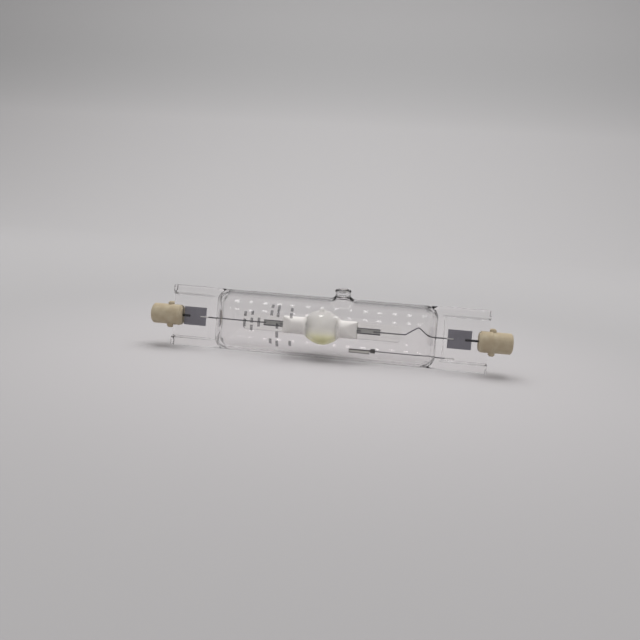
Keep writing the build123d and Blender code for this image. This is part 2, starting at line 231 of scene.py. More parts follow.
def finished_copy(node, material, edge, sharp=32):
    """Merged copy of a CAD node: flat faces whole again, and edges broken by a bevel in mm."""
    work = bmesh.new()
    work.from_mesh(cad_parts[node].data)
    bmesh.ops.remove_doubles(work, verts=work.verts, dist=1e-7)
    bmesh.ops.dissolve_limit(work, angle_limit=radians(0.5), verts=work.verts, edges=work.edges)
    mesh = bpy.data.meshes.new("copy")
    work.to_mesh(mesh)
    work.free()
    piece = add_piece(node + "_finished", [mesh], material, [node], sharp)
    bevel = piece.modifiers.new("broken edges", "BEVEL")
    bevel.width = mm * edge
    bevel.segments = 2
    bevel.limit_method = "ANGLE"
    bevel.angle_limit = radians(sharp)
    bevel.harden_normals = True
    return piece


# Outer tube

def plate_half():
    """Section of a plate from its middle up: depth without and with the groove, and height.

    A flat web runs up a quarter ellipse and over another one to the rail's face. The face ends in
    a small round edge, and from there the plate's edge slopes up to its ridge.
    """
    root_depth, root_rise = 0.7, 0.67
    over_depth, over_rise = 0.5, 0.49
    turn = np.linspace(0, pi / 2, 5)
    corner = edge_ridge - half_plate * edge_slope
    web = [(half_web, z) for z in np.linspace(0, web_height, 15)]
    root = [(half_web + root_depth * (1 - cos(t)), web_height + root_rise * sin(t)) for t in turn[1:]]
    over = [(half_plate - over_depth * (1 - sin(t)), rail_height - over_rise * cos(t)) for t in turn]
    face = [(half_plate, z) for z in (9.6, 10.3, corner - edge_round)]
    edge = [(half_plate - edge_round * s * s, corner - edge_round * (1 - s) + 0.05 * s)
            for s in (0.33, 0.66, 1.0)]
    slope = [(d, edge_ridge - d * edge_slope) for d in (2.1, 1.5, 0.9, 0.4, 0.03)]
    grooved = np.array(web + root + over + face + edge + slope)
    flat = grooved[:, 0].copy()
    flat[:len(web + root + over)] = half_plate
    return flat, grooved[:, 0], grooved[:, 1]


def envelope_stations():
    """Places along X for the rows of the outer skin, close together at the shoulders."""
    near = {side: plate_start[side] - shoulder_length for side in sides}
    middle = np.linspace(-near[-1], near[1], 84)
    rise = 1 - np.cos(np.linspace(pi / 2, 0, 34))
    foot = np.linspace(0, plate_foot, 28)[1:]
    way_out = np.concatenate([-shoulder_length * rise[1:], foot])
    shoulders = {side: plate_start[side] + way_out for side in sides}
    plates = {side: np.linspace(start + plate_foot, plate_end - end_bevel, 9)[1:]
              for side, start in plate_start.items()}
    left = np.concatenate([[plate_end], plates[-1][::-1], shoulders[-1][::-1]])
    right = np.concatenate([shoulders[1], plates[1], [plate_end]])
    return np.concatenate([-left, middle, right])


def shoulder(inward):
    """Half thickness of a shoulder and its slope, from the distance to its foot.

    A parabola from the plate's face to the tube's radius, level at its top.
    """
    t = np.clip(inward / shoulder_length, 0, 1)
    rise = tube_radius - half_plate
    return half_plate + rise * (2 * t - t * t), 2 * rise / shoulder_length * (1 - t)


def shoulder_extra(inward):
    """Small extra thickness over the parabola, from 0 at the foot to all of it at the top."""
    return shoulder_crown * smooth_step(inward / shoulder_length)


def corner_lag(height):
    """How much a shoulder lags behind near the plate's edges: a quarter circle in the front view."""
    past = np.clip(np.abs(height) - (tube_radius - corner_radius), 0, 0.97 * corner_radius)
    return corner_radius - np.sqrt(corner_radius ** 2 - past ** 2)


def envelope_loops():
    """Places, depths and heights of the outer skin's half loops, and each point's angle.

    The tube's circle has its depth cut by the shoulder's parabola, with a rounded crossing, and
    the parabola lags behind near the plate's edges. Past the foot of the shoulder the circle gives
    way to the plate's section, over a longer run at the edges, and the groove gets its depth over
    a run of its own. The last row is a little smaller, which breaks the plate's end edge.
    """
    flat, grooved, height = plate_half()
    up, out = np.abs(np.diff(height, prepend=0)), np.abs(np.diff(grooved, prepend=half_web))
    run = np.cumsum(up + 0.3 * out)
    upper = np.arcsin(0.99995 * run / run[-1])
    flat, grooved = [np.concatenate([a[:0:-1], a]) for a in (flat, grooved)]
    height, angle = [np.concatenate([-a[:0:-1], a]) for a in (height, upper)]
    x = envelope_stations()[:, None]
    inward = by_side(x, plate_start) - np.abs(x)

    tall = tube_radius * np.sin(angle)
    lagging = inward - corner_lag(tall)
    limit = shoulder(lagging)[0] + shoulder_extra(lagging)
    depth = smooth_min(tube_radius * np.cos(angle), limit, outer_blend)

    groove = smooth_step((-inward - 0.1) / groove_run)
    plate = flat + groove * (grooved - flat)
    join_start, join_run, edge_run = 0.9, 1.1, 3.0
    share = smooth_step((join_start - inward) / (join_run + edge_run * np.abs(np.sin(angle)) ** 12))
    depth = depth + share * (plate - depth)
    tall = tall + share * (height - tall)

    inset = np.where(np.abs(x) > plate_end - 0.01, end_inset, 0.0)
    return x, depth * (1 - inset / half_web / 1.5), tall * (1 - inset / edge_ridge), angle


def tip_rings(radius, corners, foot, profile):
    """Rings from a hole's corners in a round wall to a circle, then up the profile to the pole.

    corners are (along X, round the wall) from the tip's middle. A profile ring is
    (ring radius, lift, share), its height the wall's own where share is 0 and even where it is 1.
    """
    turn = np.arctan2(corners[:, 1], corners[:, 0])
    circle = foot * np.stack([np.cos(turn), np.sin(turn)], axis=-1)
    rings = []
    for t in np.linspace(0, 1, 5):
        flat = corners + t * (circle - corners)
        angle = tip_angle + flat[:, 1] / radius
        ring = [tip_place + flat[:, 0], -radius * np.cos(angle), radius * np.sin(angle)]
        rings.append(np.stack(ring, axis=-1))
    up = np.array([0, -cos(tip_angle), sin(tip_angle)])
    down = np.array([0, sin(tip_angle), cos(tip_angle)])
    for ring_radius, lift, share in profile:
        across = ring_radius * np.sin(turn)
        wall = np.sqrt(radius ** 2 - across ** 2)
        rise = lift + wall + share * (radius - wall)
        ring = np.outer(across, down) + np.outer(rise, up)
        ring[:, 0] = tip_place + ring_radius * np.cos(turn)
        rings.append(ring)
    points = np.stack(rings)
    return points, grid_faces(len(rings), len(turn), wrap_columns=True)


def with_tip(x, depth, tall, angle, radius, half_hole, foot, profile):
    """Skin of a tube with a tip drawn out of a rectangular hole in its grid."""
    front, back = halves(x, depth, tall)
    rows, columns = front.shape[0], 2 * front.shape[1]
    around = np.concatenate([angle, pi - angle[::-1]])
    inside_x = np.abs(x[:, 0] - tip_place) < half_hole
    inside_a = np.abs(around - tip_angle) < half_hole / radius
    i0, i1 = np.flatnonzero(inside_x)[[0, -1]]
    j0, j1 = np.flatnonzero(inside_a)[[0, -1]]
    keep = np.ones((rows - 1, columns), bool)
    keep[i0:i1, j0:j1] = False
    rim = [(i, j0) for i in range(i0, i1)] + [(i1, j) for j in range(j0, j1)]
    rim += [(i, j1) for i in range(i1, i0, -1)] + [(i0, j) for j in range(j1, j0, -1)]
    i, j = np.array(rim).T
    corners = np.stack([x[i, 0] - tip_place, radius * (around[j] - tip_angle)], axis=-1)
    return [loop_surface(front, back, keep), tip_rings(radius, corners, foot, profile)]


def outer_skin():
    """Outer skin of the envelope with the outside of the exhaust tip.

    The tip is a flared foot, a slightly waisted stem, a rounded rim and a shallow dish on top.
    """
    profile = [(4.8, 0.08, 0.15), (4.2, 0.27, 0.4), (3.65, 0.58, 0.65), (3.2, 0.98, 0.85)]
    profile += [(2.9, 1.38, 1), (2.75, 1.8, 1), (2.7, 2.3, 1), (2.74, 2.68, 1), (2.85, 2.98, 1)]
    profile += [(2.55 + 0.4 * cos(t), 3.35 + 0.4 * sin(t), 1) for t in np.linspace(-0.6, pi / 2, 9)]
    profile += [(2.2, 3.7, 1), (1.6, 3.55, 1), (1.0, 3.45, 1), (0.5, 3.4, 1), (0, 3.38, 1)]
    return weld(with_tip(*envelope_loops(), tube_radius, tip_hole, tip_foot, profile))


def cavity_skin():
    """Skin of the space in the envelope with the hollow of the exhaust tip.

    The bore is cut by the outside's parabola less the wall, measured square to it. Each end has a
    round nose, and seen from the front it has round corners. The hollow follows the tip's outside
    and ends in a quarter ellipse.
    """
    angle = loop_angles(60)
    rise = 1 - np.cos(np.linspace(pi / 2, 0, 46))
    ends = {side: cavity_end[side] - 8 * rise for side in sides}
    middle = np.linspace(-33.4, 32, 66)[1:-1]
    x = np.concatenate([-ends[-1][::-1], middle, ends[1]])[:, None]
    inward = by_side(x, cavity_end) - np.abs(x)
    corner = np.clip(1 - inward / cavity_corner, 0, 1)
    half_height = bore_radius - cavity_corner + cavity_corner * np.sqrt(1 - corner ** 2)
    tall = np.sin(angle) * half_height
    from_plate = by_side(x, plate_start) - np.abs(x) - corner_lag(tall)
    half, slope = shoulder(from_plate)
    wall = (tube_radius - bore_radius) * np.sqrt(1 + slope ** 2)
    limit = half - wall + shoulder_extra(from_plate)
    nose = np.clip(1 - inward / cavity_nose, 0, 1)
    depth = smooth_min(bore_radius * np.cos(angle), limit, bore_blend) * np.sqrt(1 - nose ** 2)
    depth = np.maximum(depth, 0.02)
    profile = [(4.4, 0.1, 0.2), (3.8, 0.32, 0.45), (3.25, 0.7, 0.7), (2.78, 1.2, 0.9), (2.44, 1.75, 1)]
    profile += [(2.22, 2.3, 1), (2.12, 2.7, 1)]
    profile += [(1.45 + 0.66 * cos(t), 2.95 + 0.42 * sin(t), 1) for t in np.linspace(-0.2, pi / 2, 7)]
    profile += [(1.0, 3.3, 1), (0.5, 3.22, 1), (0, 3.2, 1)]
    skin = with_tip(x, depth, tall, angle, bore_radius, hollow_hole, hollow_foot, profile)
    return weld(skin, hollow=True)


# Arc tube

def arc_form(x, angle, layer=0.0):
    """Depth and height of the arc tube's half loops, thicker by a layer, x from the bulb's middle.

    The bulb's ellipse runs into round necks through long hollow curves. The necks are cut by a
    slope to the flat pinch, and near each end by round corners and a round nose.
    """
    half_length, half_height = bulb_outside
    radius = half_height * np.sqrt(np.clip(1 - (x / half_length) ** 2, 0, 1))
    radius = smooth_max(radius, neck_radius + 0 * x, neck_blend) + layer
    inward = by_side(x, arc_foil_place) - np.abs(x)
    limit = half_pinch + layer + smooth_max(inward * pinch_slope, 0 * x, pinch_blend)
    past = np.abs(x) - by_side(x, arc_end)
    nose = np.clip(1 + past / arc_nose, 0, 1)
    corner = np.clip(1 + past / arc_corner, 0, 1)
    depth = smooth_min(radius * np.cos(angle), limit, pinch_blend) * np.sqrt(1 - 0.9 * nose ** 2)
    half_end = arc_end_height + arc_corner * np.sqrt(1 - corner ** 2)
    return depth, radius * np.sin(angle) * np.minimum(1, half_end / neck_radius)


def arc_outer_skin():
    """Outside of the arc tube with its small tip, a flat-topped bump along the tip's axis.

    The bump falls off as e to minus the fourth power of the distance from its axis.
    """
    angle = loop_angles(44)
    dense = 3
    ends = {side: arc_end[side] - dense + np.linspace(0, dense, 16)[1:] for side in sides}
    middle = np.linspace(dense - arc_end[-1], arc_end[1] - dense, 150)
    x = np.concatenate([-ends[-1][::-1], middle, ends[1]])[:, None]
    front, back = halves(x, *arc_form(x, angle))
    up = np.array([0, -cos(tip_angle), sin(tip_angle)])
    for half in (front, back):
        along = half @ up
        away = np.linalg.norm(half - along[..., None] * up, axis=-1)
        lift = np.where(along > 0, arc_tip_height * np.exp(-(away / arc_tip_radius) ** 4), 0)
        half += lift[..., None] * up
        half[..., 0] += bulb_place
    return weld([loop_surface(front, back)])


def bulb_bore(x):
    """Radius of the space in the bulb and its necks: an ellipse and two round-nosed bores, blended."""
    half_length, half_height = bulb_inside
    bulb = half_height * np.sqrt(np.clip(1 - (x / half_length) ** 2, 0, 1))
    nose = np.clip(1 + (np.abs(x) - by_side(x, neck_bore)) / neck_bore_radius, 0, 1)
    return smooth_max(bulb, neck_bore_radius * np.sqrt(1 - 0.99 * nose ** 2), pinch_blend)


def arc_inner_skin():
    """Skin of the space in the arc tube, a turned profile."""
    angle = loop_angles(40)
    x = np.linspace(-neck_bore[-1], neck_bore[1], 120)[:, None]
    radius = bulb_bore(x)
    front, back = halves(x + bulb_place, radius * np.cos(angle), radius * np.sin(angle))
    return weld([loop_surface(front, back)], hollow=True)


def coating_skin(side):
    """Layer round one neck: out along the outside and back along the quartz, thin at both edges."""
    angle = loop_angles(40)
    x = side * np.linspace(coating_start, arc_foil_place[side], 40)[:, None]
    t = np.linspace(0, 1, 40)[:, None]
    thick = 0.015 + 0.085 * smooth_step(t / 0.2) * smooth_step((1 - t) / 0.06)
    rings = []
    for layer in (thick, 0 * thick + 0.004):
        front, back = halves(x + bulb_place, *arc_form(x, angle, layer))
        rings.append(np.concatenate([front, back[:, ::-1]], axis=1))
    points = np.concatenate([rings[0], rings[1][::-1]])
    return weld([(points, grid_faces(*points.shape[:2], wrap_rows=True, wrap_columns=True))])


def dose_skin():
    """Film on the lower wall of the bulb, thickest in the middle, its edge wavy and thin.

    Its width is an ellipse along X times two sine waves, and its thickness falls with the fourth
    powers of the distances from its middle.
    """
    half_length = 4.6
    x = np.linspace(-half_length, half_length, 60)[:, None]
    t = np.linspace(-1, 1, 50)[None, :]
    wave = 1 + 0.05 * np.sin(2.3 * x) + 0.04 * np.sin(5.1 * x + 1)
    reach = radians(54) * wave * np.sqrt(1 - 0.75 * (x / half_length) ** 2)
    angle = -pi / 2 + t * reach
    crust = 1 + 0.2 * np.sin(4.1 * x + 6 * t) * np.sin(7 * t - 2.2 * x)
    thick = 0.015 + 0.105 * crust * (1 - t ** 4) * (1 - (x / half_length) ** 4)
    faces = []
    for layer in (0.004, thick + 0.004):
        radius = bulb_bore(x) - layer
        film = [x + bulb_place, radius * np.cos(angle + pi), radius * np.sin(angle)]
        faces.append(np.stack(np.broadcast_arrays(*film), axis=-1))
    return weld([loop_surface(*faces)])


def drop_skin():
    """Drop of mercury, a ball that rests on the salt film straight under the bulb's middle."""
    radius, film, gap = 0.65, 0.15, 0.02
    depth = bulb_inside[1] - film - gap - radius
    angle = loop_angles(24)
    along = np.linspace(-1, 1, 32)[:, None] * pi / 2 * 0.999
    ring = radius * np.cos(along)
    front, back = halves(radius * np.sin(along), ring * np.cos(angle), ring * np.sin(angle))
    middle = np.array([bulb_place, depth * sin(lean), -depth * cos(lean)])
    return weld([loop_surface(front + middle, back + middle)])


# Wires

def wire_skin(path, radius, across=(0, 1, 0), facets=14, end_edge=wire_edge):
    """Round wire: a circle square to the path at each of its points, smaller at both ends."""
    path = np.asarray(path, float)
    along = np.gradient(path, axis=0)
    along /= np.linalg.norm(along, axis=1)[:, None]
    across = np.broadcast_to(np.asarray(across, float), path.shape)
    second = np.cross(along, across)
    second /= np.linalg.norm(second, axis=1)[:, None]
    first = np.cross(second, along)
    path = np.concatenate([path[:1], path, path[-1:]])
    path[0] -= end_edge * along[0]
    path[-1] += end_edge * along[-1]
    first, second = [np.concatenate([a[:1], a, a[-1:]])[:, None] for a in (first, second)]
    size = np.full((len(path), 1), radius)
    size[[0, -1]] = radius - end_edge
    angle = loop_angles(facets // 2)
    depth, rise = (size * np.cos(angle))[..., None], (size * np.sin(angle))[..., None]
    front, back = [path[:, None] + sign * depth * first + rise * second for sign in (-1, 1)]
    return weld([loop_surface(front, back)])


def straight(x0, x1, y=0.0, z=0.0, count=12):
    """Points of a straight run along X between two ends, less the wire's rounded ends."""
    x = np.linspace(x0 + wire_edge, x1 - wire_edge, count)
    return np.stack([x, 0 * x + y, 0 * x + z], axis=-1)


def kinked():
    """Path of the kinked lead: straight runs in the XZ plane with arcs between them.

    Each arc's centre lies on the line that halves the corner, at its radius from both runs.
    """
    corners = np.array([(17.47, 0), (29.2, 0), (33.88, 3.2), (38.57, 0), (46.75, 0)])
    radius = 1.2
    points = [corners[0] + [wire_edge, 0]]
    for before, here, after in zip(corners, corners[1:], corners[2:]):
        a = (before - here) / np.linalg.norm(before - here)
        b = (after - here) / np.linalg.norm(after - here)
        half = 0.5 * np.arccos(np.clip(a @ b, -1, 1))
        centre = here + (a + b) / np.linalg.norm(a + b) * radius / sin(half)
        ends = [here + d * radius / tan(half) - centre for d in (a, b)]
        for t in np.linspace(0, 1, 9):
            ray = (1 - t) * ends[0] + t * ends[1]
            points.append(centre + radius * ray / np.linalg.norm(ray))
    points.append(corners[-1] - [wire_edge, 0])
    x, z = np.array(points).T
    return np.stack([x, 0 * x + foil_front - lead_radius, z], axis=-1)


def coil_skin(side):
    """Turns of wire round the electrode's rod: a helix about X."""
    turns, pitch, radius, wire_radius = 3, 0.45, 0.51, 0.2
    turn = np.linspace(0, turns * 2 * pi, 109)
    ray = np.stack([0 * turn, np.cos(turn), np.sin(turn)], axis=-1)
    path = radius * ray
    path[:, 0] += bulb_place + side * (electrode_end + 0.6 + pitch * turn / (2 * pi))
    path[:, 1] += foil_front - electrode_radius
    return wire_skin(path, wire_radius, across=ray, facets=12, end_edge=0.04)


# Marks on the front of the tube

def mark_skin(x0, x1, angle0, angle1):
    """Thin bar of ink on the round wall: a flat rectangle carried round the tube's axis."""
    over, under, rows = 0.002, 0.015, 6
    angle = np.radians(np.linspace(angle0, angle1, rows))[:, None]
    x = np.array([x0, x1, x1, x0])[None, :]
    radius = tube_radius + np.array([over, over, -under, -under])[None, :]
    bar = [x, -radius * np.cos(angle), radius * np.sin(angle)]
    points = np.stack(np.broadcast_arrays(*bar), axis=-1)
    around = grid_faces(rows, 4, wrap_columns=True).reshape(-1, 4)
    ends = np.arange(4) + np.array([[0], [4 * (rows - 1)]])
    return weld([(points, np.concatenate([around, ends]))])


# Materials

# Settings of a node that carries a value from one range to another, and of one that mixes colours
smooth = {"interpolation_type": "SMOOTHSTEP"}
colours = {"data_type": "RGBA"}


def add(tree, kind, inputs=(), **settings):
    """Adds a node with its settings and links.

    The inputs are named, or listed in the node's own order. Each is a value, the output of another
    node, or a node, which stands for its first output.
    """
    node = tree.nodes.new("ShaderNode" + kind)
    for name, value in settings.items():
        setattr(node, name, value)
    for name, value in inputs.items() if isinstance(inputs, dict) else enumerate(inputs):
        if isinstance(value, bpy.types.Node):
            value = value.outputs[0]
        if isinstance(value, bpy.types.NodeSocket):
            tree.links.new(value, node.inputs[name])
        else:
            node.inputs[name].default_value = value
    return node


def new_material(name):
    """Empty material, its node tree, and the place on the piece in metres (Object coordinates)."""
    material = bpy.data.materials.new(name)
    material.use_nodes = True
    tree = material.node_tree
    tree.nodes.clear()
    return material, tree, add(tree, "TexCoord").outputs["Object"]


def away_from(tree, place, axis, middle):
    """Distance in metres along one axis from a place in mm."""
    along = add(tree, "SeparateXYZ", [place]).outputs[axis]
    off = add(tree, "Math", [along, middle * mm], operation="SUBTRACT")
    return add(tree, "Math", [off], operation="ABSOLUTE")


def lets_lamps_through(tree, shader, tint):
    """Shader that rays from lamps and from dull surfaces pass straight through, tinted."""
    path = add(tree, "LightPath")
    rays = [path.outputs["Is Shadow Ray"], path.outputs["Is Diffuse Ray"]]
    either = add(tree, "Math", rays, operation="MAXIMUM")
    clear = add(tree, "BsdfTransparent", [linear(tint)])
    return add(tree, "MixShader", [either, shader, clear])


def fused_quartz():
    """Clear fused quartz, blown and flame-pinched: very smooth, with faint waves 9 mm long."""
    material, tree, place = new_material("fused_quartz")
    waves = add(tree, "TexNoise", {"Vector": place, "Scale": 1 / (9.0 * mm), "Detail": 1.0})
    glass = add(tree, "BsdfPrincipled", {
        "Base Color": linear("#FAF9F9"),
        "Transmission Weight": 1.0,
        "IOR": quartz_ior,
        "Roughness": 0.015,
        "Normal": add(tree, "Bump", {"Height": waves, "Distance": 0.02 * mm, "Strength": 0.5}),
    })
    add(tree, "OutputMaterial", [lets_lamps_through(tree, glass, "#FCFCFC")])
    return material


def fogged_quartz():
    """Quartz of the arc tube: clear in its pinches, fogged round the bulb, yellowish low down."""
    material, tree, place = new_material("fogged_quartz")
    far = away_from(tree, place, "X", bulb_place)
    height = add(tree, "SeparateXYZ", [place]).outputs["Z"]
    fog = add(tree, "MapRange", [far, 6.6 * mm, 8.5 * mm, 0.3, 0.0], **smooth)
    low = add(tree, "MapRange", [height, 6.5 * mm, 12.5 * mm, 1.0, 0.0], **smooth)
    through = add(tree, "Mix", {0: low, 6: linear("#FAF7F4"), 7: linear("#F6F2C4")}, **colours)
    surface = add(tree, "Mix", {0: low, 6: linear("#FAF7F4"), 7: linear("#F5F1C0")}, **colours)
    haze = add(tree, "BsdfTranslucent", [through.outputs[2]])
    dull = add(tree, "BsdfDiffuse", [surface.outputs[2]])
    cloud = add(tree, "MixShader", [0.7, haze, dull])
    glass = add(tree, "BsdfPrincipled", {
        "Base Color": linear("#FCFCFA"),
        "Transmission Weight": 1.0,
        "IOR": quartz_ior,
        "Roughness": add(tree, "MapRange", [far, 6.6 * mm, 8.5 * mm, 0.1, 0.02], **smooth),
    })
    both = add(tree, "MixShader", [fog, glass, cloud])
    add(tree, "OutputMaterial", [lets_lamps_through(tree, both, "#FBFBFA")])
    return material


def zirconia_layer():
    """Sprayed zirconia: a thin matt white layer, patchy, that fades out towards the bulb.

    Its speckle is coarser than the real grain, which is too fine to show.
    """
    material, tree, place = new_material("zirconia_layer")
    patches = add(tree, "TexNoise", {"Vector": place, "Scale": 1 / (1.4 * mm), "Detail": 4.0})
    speckle = add(tree, "TexNoise", {"Vector": place, "Scale": 1 / (0.25 * mm), "Detail": 3.0})
    far = away_from(tree, place, "X", bulb_place)
    uneven = add(tree, "Math", [patches, 1.6 * mm, far], operation="MULTIPLY_ADD")
    cover = add(tree, "MapRange", [uneven, 5.7 * mm, 7.6 * mm], **smooth)
    white = add(tree, "Mix", {0: patches, 6: linear("#F2EEEA"), 7: linear("#FCFAF7")}, **colours)
    matt = add(tree, "BsdfPrincipled", {
        "Base Color": white.outputs[2],
        "Roughness": 0.85,
        "Normal": add(tree, "Bump", {"Height": speckle, "Distance": 0.03 * mm, "Strength": 0.6}),
    })
    through = add(tree, "BsdfTranslucent", [linear("#F6F2EE")])
    both = add(tree, "MixShader", [0.12, matt, through])
    bare = add(tree, "BsdfTransparent")
    add(tree, "OutputMaterial", [add(tree, "MixShader", [cover, bare, both])])
    return material


def fired_steatite():
    """Pressed and fired steatite: beige, matt, with a fine grain and faint cloudy shades.

    The grain is coarser than the real one, which is too fine to show.
    """
    material, tree, place = new_material("fired_steatite")
    clouds = add(tree, "TexNoise", {"Vector": place, "Scale": 1 / (3.0 * mm), "Detail": 4.0})
    grain = add(tree, "TexNoise", {
        "Vector": place, "Scale": 1 / (0.35 * mm), "Detail": 3.0, "Roughness": 0.6})
    shade = add(tree, "MapRange", [clouds, 0.3, 0.7], **smooth)
    beige = add(tree, "Mix", {0: shade, 6: linear("#AE9F86"), 7: linear("#BBAF96")}, **colours)
    body = add(tree, "BsdfPrincipled", {
        "Base Color": beige.outputs[2],
        "Roughness": 0.62,
        "Specular IOR Level": 0.4,
        "Normal": add(tree, "Bump", {"Height": grain, "Distance": 0.05 * mm, "Strength": 0.5}),
    })
    add(tree, "OutputMaterial", [body])
    return material


def cement_paste():
    """Refractory cement: pale, chalky and grainy."""
    material, tree, place = new_material("cement_paste")
    lumps = add(tree, "TexNoise", {"Vector": place, "Scale": 1 / (0.8 * mm), "Detail": 4.0})
    grain = add(tree, "TexNoise", {"Vector": place, "Scale": 1 / (0.3 * mm), "Detail": 4.0})
    chalk = add(tree, "Mix", {0: lumps, 6: linear("#B9B1A0"), 7: linear("#D2CCBE")}, **colours)
    body = add(tree, "BsdfPrincipled", {
        "Base Color": chalk.outputs[2],
        "Roughness": 0.92,
        "Normal": add(tree, "Bump", {"Height": grain, "Distance": 0.08 * mm, "Strength": 0.8}),
    })
    add(tree, "OutputMaterial", [body])
    return material


def metal(name, dark, light, grain, low, high, depth):
    """Bare metal with a grain of a size in mm that changes its shade and its roughness.

    The grain stands for drawing or turning marks that are too fine to show.
    """
    material, tree, place = new_material(name)
    lumps = add(tree, "TexNoise", {"Vector": place, "Scale": 1 / (grain * mm), "Detail": 3.0})
    shade = add(tree, "Mix", {0: lumps, 6: linear(dark), 7: linear(light)}, **colours)
    body = add(tree, "BsdfPrincipled", {
        "Base Color": shade.outputs[2],
        "Metallic": 1.0,
        "Roughness": add(tree, "MapRange", [lumps, 0.3, 0.7, low, high], **smooth),
        "Normal": add(tree, "Bump", {"Height": lumps, "Distance": depth * mm, "Strength": 0.5}),
    })
    add(tree, "OutputMaterial", [body])
    return material


def rolled_foil(name="rolled_foil", rims=False):
    """Rolled and etched molybdenum foil: satin violet-grey with fine lines along its length.

    The lines are coarser than real ones, which are too fine to show. With rims, its long edges are
    dark, where they are etched thin and the quartz grips them.
    """
    material, tree, place = new_material(name)
    stretched = add(tree, "Mapping", {"Vector": place, "Scale": (0.15, 1.0, 1.0)})
    lines = add(tree, "TexNoise", {"Vector": stretched, "Scale": 1 / (0.5 * mm), "Detail": 3.0})
    clouds = add(tree, "TexNoise", {"Vector": place, "Scale": 1 / (3.5 * mm), "Detail": 2.0})
    shade, first, second = clouds, "#807E87", "#94929A"
    if rims:
        off = away_from(tree, place, "Z", axis_height)
        shade = add(tree, "MapRange", [off, 0.55 * mm, 0.95 * mm], **smooth)
        first, second = "#B4B4B2", "#4E4C54"
    grey = add(tree, "Mix", {0: shade, 6: linear(first), 7: linear(second)}, **colours)
    body = add(tree, "BsdfPrincipled", {
        "Base Color": grey.outputs[2],
        "Metallic": 1.0,
        "Roughness": add(tree, "MapRange", [clouds, 0.3, 0.7, 0.42, 0.55], **smooth),
        "Normal": add(tree, "Bump", {"Height": lines, "Distance": 0.012 * mm, "Strength": 0.6}),
    })
    add(tree, "OutputMaterial", [body])
    return material


def drawn_molybdenum():
    """Drawn molybdenum wire: grey where it is free, bright where it is welded to a foil."""
    material, tree, place = new_material("drawn_molybdenum")
    far = away_from(tree, place, "X", plate_middle)
    seated = add(tree, "MapRange", [far, 44.5 * mm, 45.2 * mm], **smooth)
    grey = add(tree, "Mix", {0: seated, 6: linear("#6A696D"), 7: linear("#F2F0EE")}, **colours)
    body = add(tree, "BsdfPrincipled", {
        "Base Color": grey.outputs[2],
        "Metallic": 1.0,
        "Roughness": add(tree, "MapRange", [seated, 0.0, 1.0, 0.32, 0.6], **smooth),
    })
    add(tree, "OutputMaterial", [body])
    return material


def salt_film():
    """Film of frozen metal salts: yellow-green, half clear, grainy and a little glossy."""
    material, tree, place = new_material("salt_film")
    grains = add(tree, "TexNoise", {"Vector": place, "Scale": 1 / (0.7 * mm), "Detail": 4.0})
    yellow = add(tree, "Mix", {0: grains, 6: linear("#CCCB8A"), 7: linear("#E8E6B2")}, **colours)
    film = add(tree, "BsdfPrincipled", {
        "Base Color": yellow.outputs[2],
        "Roughness": 0.4,
        "Transmission Weight": 0.45,
        "IOR": 1.6,
        "Normal": add(tree, "Bump", {"Height": grains, "Distance": 0.05 * mm, "Strength": 0.6}),
    })
    add(tree, "OutputMaterial", [lets_lamps_through(tree, film, "#D9D8A0")])
    return material


def marking_ink():
    """Burnt-in marking ink: thin, matt, dark grey and a little worn."""
    material, tree, place = new_material("marking_ink")
    wear = add(tree, "TexNoise", {"Vector": place, "Scale": 1 / (0.8 * mm), "Detail": 3.0})
    body = add(tree, "BsdfPrincipled", {
        "Base Color": linear("#5A5A5E"),
        "Roughness": 0.8,
        "Alpha": add(tree, "MapRange", [wear, 0.3, 0.7, 0.3, 0.5], **smooth),
    })
    add(tree, "OutputMaterial", [body])
    return material


def pressed_powder():
    """Pressed metal powder: matt and rough, with painted light along the pellet's middle and painted
    shade towards its edges.

    Its grains are coarser than the real ones, which are too fine to show.
    """
    material, tree, place = new_material("pressed_powder")
    grains = add(tree, "TexNoise", {
        "Vector": place, "Scale": 1 / (0.25 * mm), "Detail": 4.0, "Roughness": 0.7})
    # Painted light along the pellet's middle, and painted shade towards its edges by the boat's rims
    off = away_from(tree, place, "Z", 4.0)
    dark = add(tree, "MapRange", [off, 0.2 * mm, 0.55 * mm], **smooth)
    grey = add(tree, "Mix", {0: dark, 6: linear("#CCCAC4"), 7: linear("#4A4744")}, **colours)
    body = add(tree, "BsdfPrincipled", {
        "Base Color": grey.outputs[2],
        "Roughness": 0.9,
        "Normal": add(tree, "Bump", {"Height": grains, "Distance": 0.06 * mm, "Strength": 0.9}),
    })
    add(tree, "OutputMaterial", [body])
    return material


def paper_with_painted_light():
    """Seamless matt paper with painted light: a painted pool of light round the lamp, painted shade
    away from it and up the wall.
    """
    material, tree, place = new_material("paper_with_painted_light")
    height = add(tree, "SeparateXYZ", [place]).outputs["Z"]
    # Painted shade up the wall: darker from the floor up, then a little paler again higher up
    down = add(tree, "MapRange", [height, 0.02, 0.36], **smooth)
    up = add(tree, "MapRange", [height, 0.2, 0.42, 0.0, 0.28], **smooth)
    # Painted pool of light: palest at the lamp, darker over 0.18 m away from it
    flat = add(tree, "VectorMath", [place, (1.0, 1.0, 0.0)], operation="MULTIPLY")
    reach = add(tree, "VectorMath", [flat], operation="LENGTH").outputs["Value"]
    painted_light_pool = add(tree, "MapRange", [reach, 0.0, 0.18, 0.0, 0.52], **smooth)
    wall = add(tree, "Math", [down, up], operation="SUBTRACT")
    painted_shade = add(tree, "Math", [wall, painted_light_pool], operation="MAXIMUM")
    grey = add(tree, "Mix", {0: painted_shade, 6: linear("#B7B4B5"), 7: linear("#919191")}, **colours)
    body = add(tree, "BsdfPrincipled", {
        "Base Color": grey.outputs[2],
        "Roughness": 0.9,
        "Specular IOR Level": 0.2,
    })
    add(tree, "OutputMaterial", [body])
    return material


def lamp_face(strength):
    """Face of a small ceiling lamp."""
    material, tree, _ = new_material("lamp_face")
    glow = add(tree, "Emission", {"Color": (1, 1, 1, 1), "Strength": strength})
    add(tree, "OutputMaterial", [glow])
    return material


def paint(node, material):
    """Gives a CAD node a material in place of its own."""
    node.data.materials.clear()
    node.data.materials.append(material)


# Pieces

